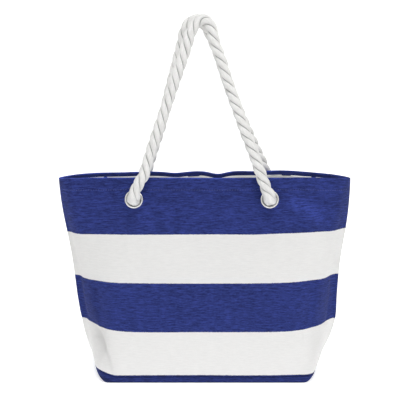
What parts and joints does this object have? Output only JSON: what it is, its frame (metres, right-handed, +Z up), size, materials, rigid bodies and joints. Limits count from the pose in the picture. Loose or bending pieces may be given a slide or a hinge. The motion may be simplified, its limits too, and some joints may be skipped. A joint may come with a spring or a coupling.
{
  "type": "beach bag",
  "caption": "Striped canvas beach tote with a boxed base, an open mouth and two knotted twisted-rope handles that swing in metal eyelets.",
  "frame": {"origin": "on the ground under the middle of the bag's base", "axes": "+Z up, -Y towards the front panel, +X to the right seen from the front"},
  "size_m": [0.527, 0.156, 0.65],
  "materials": {
    "striped_canvas": "navy and white striped cotton canvas with a fine crosswise rib",
    "navy_facing": "navy cotton canvas turned in at the rim",
    "white_lining": "plain white cotton lining",
    "cotton_rope": "white three-strand twisted cotton rope",
    "nickel": "bright nickel-plated brass",
    "end_tape": "white wrap at the rope's cut end"
  },
  "bodies": {
    "bag": {"front_panel": "striped_canvas", "back_panel": "striped_canvas", "front_rim_facing": "navy_facing", "back_rim_facing": "navy_facing", "front_lining": "white_lining", "back_lining": "white_lining", "front_left_eyelet": "nickel", "front_right_eyelet": "nickel", "back_left_eyelet": "nickel", "back_right_eyelet": "nickel", "front_left_washer": "nickel", "front_right_washer": "nickel", "back_left_washer": "nickel", "back_right_washer": "nickel", "front_left_knot": "cotton_rope", "front_right_knot": "cotton_rope", "back_left_knot": "cotton_rope", "back_right_knot": "cotton_rope", "front_left_rope_end_tape": "end_tape", "front_right_rope_end_tape": "end_tape", "back_left_rope_end_tape": "end_tape", "back_right_rope_end_tape": "end_tape"},
    "front_handle": {"front_handle_rope": "cotton_rope"},
    "back_handle": {"back_handle_rope": "cotton_rope"}
  },
  "joints": [
    {"name": "front_handle_swing", "type": "hinge", "parent": "bag", "child": "front_handle", "pos_m": [0, -0.05476, 0.33202], "axis": [1, 0, 0], "range_deg": [0, 178]},
    {"name": "back_handle_swing", "type": "hinge", "parent": "bag", "child": "back_handle", "pos_m": [0, 0.05476, 0.33202], "axis": [-1, 0, 0], "range_deg": [0, 178]}
  ]
}
